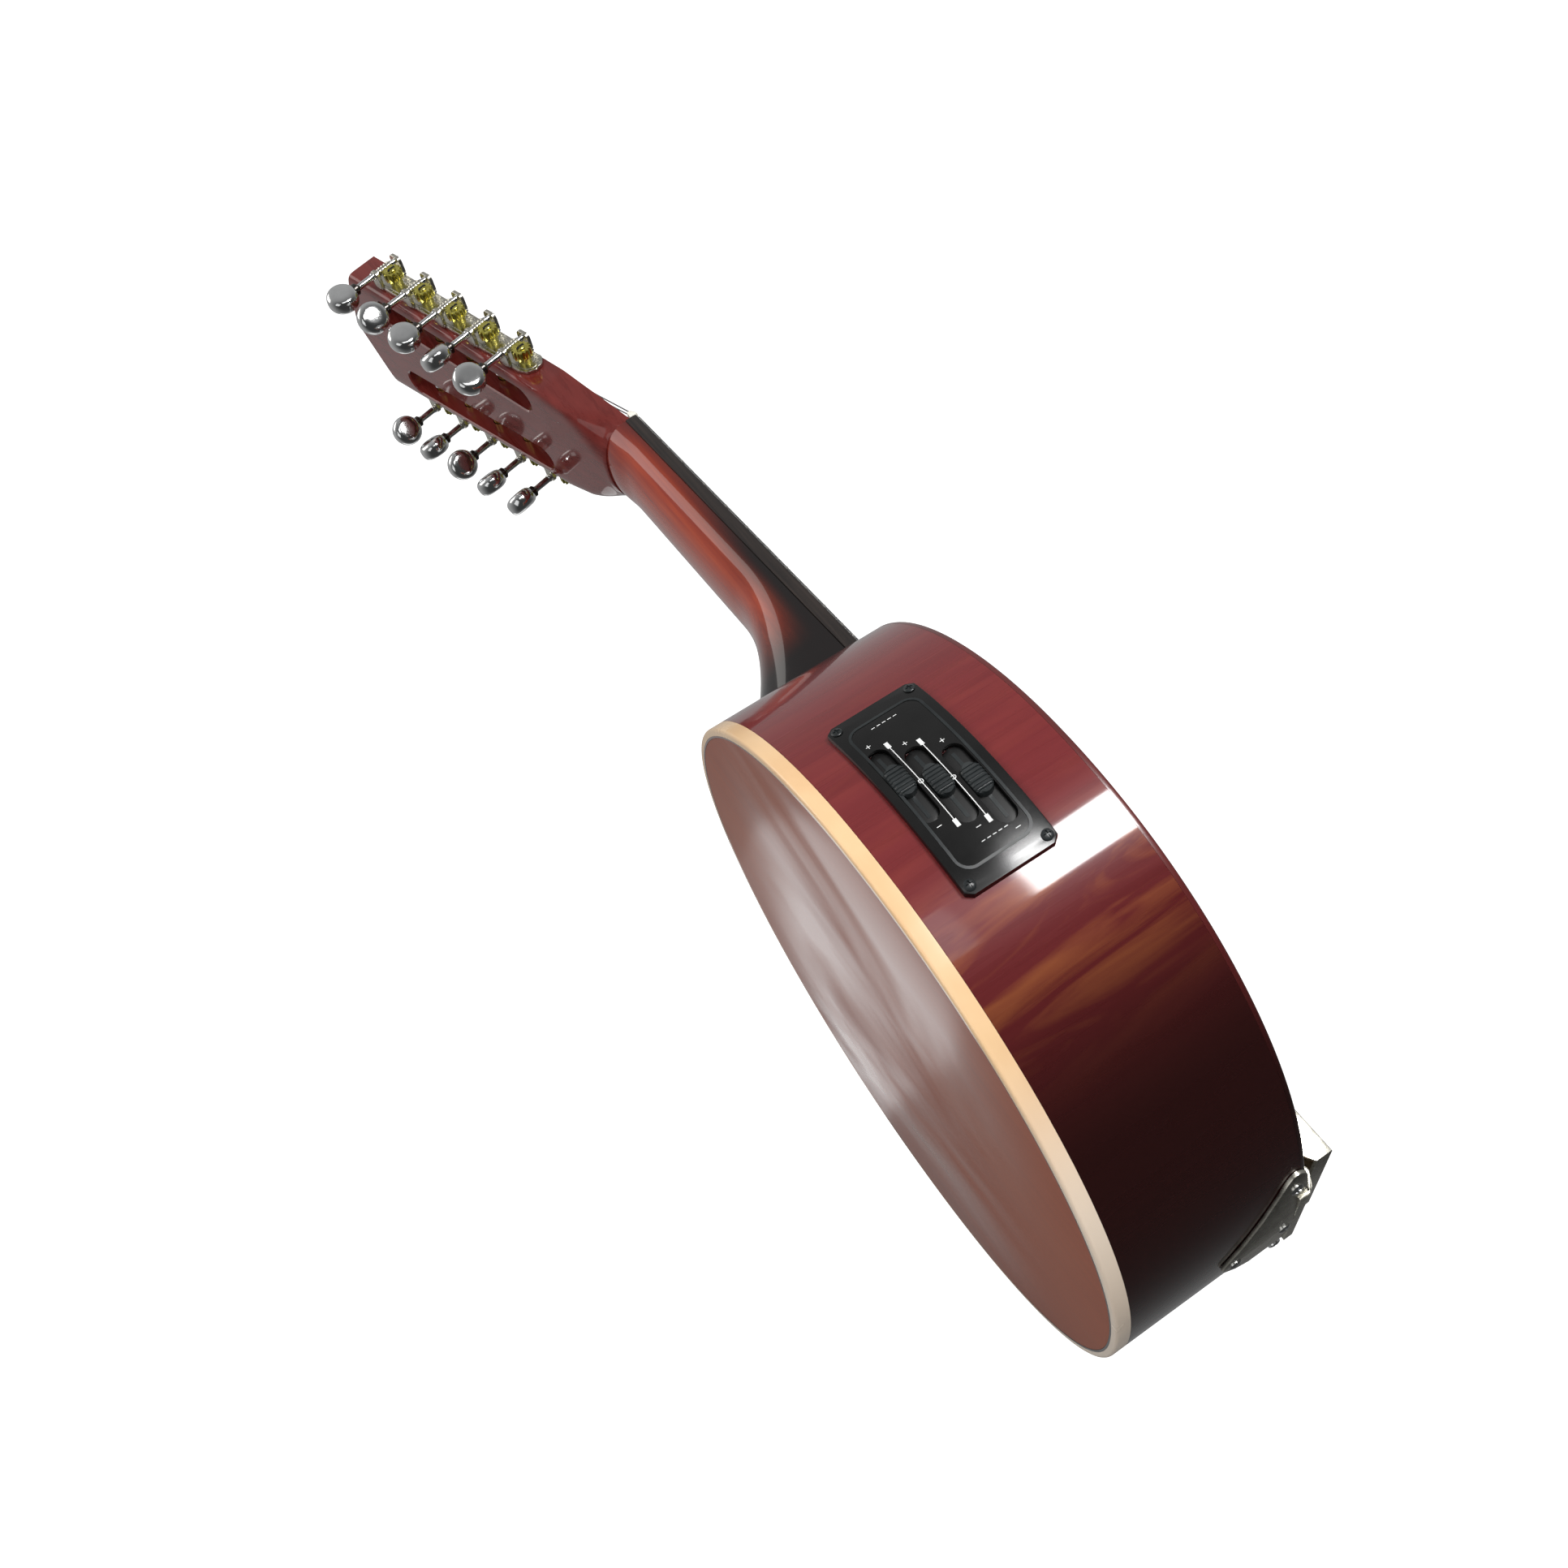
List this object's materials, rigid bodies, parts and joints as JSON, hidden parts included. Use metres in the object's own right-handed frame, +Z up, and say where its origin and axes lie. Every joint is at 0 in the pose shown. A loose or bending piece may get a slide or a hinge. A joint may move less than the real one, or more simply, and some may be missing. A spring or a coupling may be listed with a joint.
{
  "type": "charango",
  "caption": "Small plucked lute with a rounded, flat-backed body, slotted headstock with geared tuners, metal tailpiece and a preamp with slide controls in its side.",
  "frame": {"origin": "where a wall hanger's fork holds the headstock's shoulders, on the instrument's centre line", "axes": "+Z up the neck towards the headstock, +X towards the treble side, soundboard facing -Y and flat back facing +Y"},
  "size_m": [0.266, 0.1024, 0.6314],
  "materials": {
    "back_wood": "high gloss lacquer",
    "side_wood": "high gloss lacquer",
    "cream_binding": "polished",
    "dark_binding": "polished",
    "spruce": "gloss lacquer",
    "inner_wood": "raw",
    "neck_wood": "high gloss lacquer",
    "head_wood": "high gloss lacquer",
    "ebony": "satin",
    "bone": "polished",
    "bridge_wood": "satin",
    "nickel": "worn nickel plate",
    "chrome": "polished",
    "brass": "satin",
    "string_steel": "drawn wire",
    "black_plastic": "satin",
    "slider_plastic": "satin",
    "housing_plastic": "moulded",
    "battery": "satin"
  },
  "bodies": {
    "instrument": {"back_plate": "back_wood", "back_binding": "cream_binding", "side_rim": "side_wood", "soundboard": "spruce", "soundboard_binding": "dark_binding", "neck_block": "inner_wood", "tail_block": "inner_wood", "front_lining": "inner_wood", "back_lining": "inner_wood", "soundboard_brace_upper": "inner_wood", "soundboard_brace_lower": "inner_wood", "back_brace": "inner_wood", "neck": "neck_wood", "headstock": "head_wood", "fingerboard": "ebony", "nut": "bone", "bridge": "bridge_wood", "saddle": "bone", "tailpiece_base": "nickel", "tuner_plate_bass": "nickel", "tuner_plate_treble": "nickel", "preamp_faceplate": "black_plastic", "preamp_housing": "housing_plastic", "output_jack": "nickel", "battery": "battery", "piezo_pickup": "brass", "string_bass_1": "string_steel", "string_bass_2": "string_steel", "string_bass_3": "string_steel", "string_bass_4": "string_steel", "string_bass_5": "string_steel", "string_treble_1": "string_steel", "string_treble_2": "string_steel", "string_treble_3": "string_steel", "string_treble_4": "string_steel", "string_treble_5": "string_steel"},
    "knob_bass_1": {"tuner_knob_bass_1": "chrome"},
    "knob_bass_2": {"tuner_knob_bass_2": "chrome"},
    "knob_bass_3": {"tuner_knob_bass_3": "chrome"},
    "knob_bass_4": {"tuner_knob_bass_4": "chrome"},
    "knob_bass_5": {"tuner_knob_bass_5": "chrome"},
    "knob_treble_1": {"tuner_knob_treble_1": "chrome"},
    "knob_treble_2": {"tuner_knob_treble_2": "chrome"},
    "knob_treble_3": {"tuner_knob_treble_3": "chrome"},
    "knob_treble_4": {"tuner_knob_treble_4": "chrome"},
    "knob_treble_5": {"tuner_knob_treble_5": "chrome"},
    "roller_bass_1": {"string_roller_bass_1": "brass"},
    "roller_bass_2": {"string_roller_bass_2": "brass"},
    "roller_bass_3": {"string_roller_bass_3": "brass"},
    "roller_bass_4": {"string_roller_bass_4": "brass"},
    "roller_bass_5": {"string_roller_bass_5": "brass"},
    "roller_treble_1": {"string_roller_treble_1": "brass"},
    "roller_treble_2": {"string_roller_treble_2": "brass"},
    "roller_treble_3": {"string_roller_treble_3": "brass"},
    "roller_treble_4": {"string_roller_treble_4": "brass"},
    "roller_treble_5": {"string_roller_treble_5": "brass"},
    "slider_body_1": {"slider_1": "slider_plastic"},
    "slider_body_2": {"slider_2": "slider_plastic"},
    "slider_body_3": {"slider_3": "slider_plastic"},
    "cover": {"tailpiece_cover": "nickel"}
  },
  "joints": [
    {"name": "knob_turn_bass_1", "type": "hinge", "parent": "instrument", "child": "knob_bass_1", "pos_m": [-0.04024, 0.04123, 0.03181], "axis": [0, 0.965, -0.2622], "continuous": true},
    {"name": "knob_turn_bass_2", "type": "hinge", "parent": "instrument", "child": "knob_bass_2", "pos_m": [-0.04104, 0.04759, 0.05525], "axis": [0, 0.965, -0.2622], "continuous": true},
    {"name": "knob_turn_bass_3", "type": "hinge", "parent": "instrument", "child": "knob_bass_3", "pos_m": [-0.04185, 0.05396, 0.07869], "axis": [0, 0.965, -0.2622], "continuous": true},
    {"name": "knob_turn_bass_4", "type": "hinge", "parent": "instrument", "child": "knob_bass_4", "pos_m": [-0.04265, 0.06033, 0.10212], "axis": [0, 0.965, -0.2622], "continuous": true},
    {"name": "knob_turn_bass_5", "type": "hinge", "parent": "instrument", "child": "knob_bass_5", "pos_m": [-0.04346, 0.0667, 0.12556], "axis": [0, 0.965, -0.2622], "continuous": true},
    {"name": "knob_turn_treble_1", "type": "hinge", "parent": "instrument", "child": "knob_treble_1", "pos_m": [0.04024, 0.04123, 0.03181], "axis": [0, 0.965, -0.2622], "continuous": true},
    {"name": "knob_turn_treble_2", "type": "hinge", "parent": "instrument", "child": "knob_treble_2", "pos_m": [0.04104, 0.04759, 0.05525], "axis": [0, 0.965, -0.2622], "continuous": true},
    {"name": "knob_turn_treble_3", "type": "hinge", "parent": "instrument", "child": "knob_treble_3", "pos_m": [0.04185, 0.05396, 0.07869], "axis": [0, 0.965, -0.2622], "continuous": true},
    {"name": "knob_turn_treble_4", "type": "hinge", "parent": "instrument", "child": "knob_treble_4", "pos_m": [0.04265, 0.06033, 0.10212], "axis": [0, 0.965, -0.2622], "continuous": true},
    {"name": "knob_turn_treble_5", "type": "hinge", "parent": "instrument", "child": "knob_treble_5", "pos_m": [0.04346, 0.0667, 0.12556], "axis": [0, 0.965, -0.2622], "continuous": true},
    {"name": "roller_turn_bass_1", "type": "hinge", "parent": "instrument", "child": "roller_bass_1", "pos_m": [-0.0318, 0.01355, 0.03216], "axis": [0.9995, 0.0087, 0.032], "continuous": true},
    {"name": "roller_turn_bass_2", "type": "hinge", "parent": "instrument", "child": "roller_bass_2", "pos_m": [-0.03261, 0.01992, 0.05559], "axis": [0.9995, 0.0087, 0.032], "continuous": true},
    {"name": "roller_turn_bass_3", "type": "hinge", "parent": "instrument", "child": "roller_bass_3", "pos_m": [-0.03341, 0.02628, 0.07903], "axis": [0.9995, 0.0087, 0.032], "continuous": true},
    {"name": "roller_turn_bass_4", "type": "hinge", "parent": "instrument", "child": "roller_bass_4", "pos_m": [-0.03422, 0.03265, 0.10247], "axis": [0.9995, 0.0087, 0.032], "continuous": true},
    {"name": "roller_turn_bass_5", "type": "hinge", "parent": "instrument", "child": "roller_bass_5", "pos_m": [-0.03503, 0.03902, 0.12591], "axis": [0.9995, 0.0087, 0.032], "continuous": true},
    {"name": "roller_turn_treble_1", "type": "hinge", "parent": "instrument", "child": "roller_treble_1", "pos_m": [0.0318, 0.01355, 0.03216], "axis": [0.9995, -0.0087, -0.032], "continuous": true},
    {"name": "roller_turn_treble_2", "type": "hinge", "parent": "instrument", "child": "roller_treble_2", "pos_m": [0.03261, 0.01992, 0.05559], "axis": [0.9995, -0.0087, -0.032], "continuous": true},
    {"name": "roller_turn_treble_3", "type": "hinge", "parent": "instrument", "child": "roller_treble_3", "pos_m": [0.03341, 0.02628, 0.07903], "axis": [0.9995, -0.0087, -0.032], "continuous": true},
    {"name": "roller_turn_treble_4", "type": "hinge", "parent": "instrument", "child": "roller_treble_4", "pos_m": [0.03422, 0.03265, 0.10247], "axis": [0.9995, -0.0087, -0.032], "continuous": true},
    {"name": "roller_turn_treble_5", "type": "hinge", "parent": "instrument", "child": "roller_treble_5", "pos_m": [0.03503, 0.03902, 0.12591], "axis": [0.9995, -0.0087, -0.032], "continuous": true},
    {"name": "slider_travel_1", "type": "slide", "parent": "instrument", "child": "slider_body_1", "axis": [0, 0, 1], "range_m": [-0.01045, 0.00845]},
    {"name": "slider_travel_2", "type": "slide", "parent": "instrument", "child": "slider_body_2", "axis": [0, 0, 1], "range_m": [-0.01045, 0.00845]},
    {"name": "slider_travel_3", "type": "slide", "parent": "instrument", "child": "slider_body_3", "axis": [0, 0, 1], "range_m": [-0.01045, 0.00845]},
    {"name": "cover_slide", "type": "slide", "parent": "instrument", "child": "cover", "axis": [0, 0, -1], "range_m": [0, 0.025]}
  ],
  "couplings": [
    {"joint": "roller_turn_bass_1", "follows": "knob_turn_bass_1", "ratio": 0.071429},
    {"joint": "roller_turn_bass_2", "follows": "knob_turn_bass_2", "ratio": 0.071429},
    {"joint": "roller_turn_bass_3", "follows": "knob_turn_bass_3", "ratio": 0.071429},
    {"joint": "roller_turn_bass_4", "follows": "knob_turn_bass_4", "ratio": 0.071429},
    {"joint": "roller_turn_bass_5", "follows": "knob_turn_bass_5", "ratio": 0.071429},
    {"joint": "roller_turn_treble_1", "follows": "knob_turn_treble_1", "ratio": -0.071429},
    {"joint": "roller_turn_treble_2", "follows": "knob_turn_treble_2", "ratio": -0.071429},
    {"joint": "roller_turn_treble_3", "follows": "knob_turn_treble_3", "ratio": -0.071429},
    {"joint": "roller_turn_treble_4", "follows": "knob_turn_treble_4", "ratio": -0.071429},
    {"joint": "roller_turn_treble_5", "follows": "knob_turn_treble_5", "ratio": -0.071429}
  ]
}
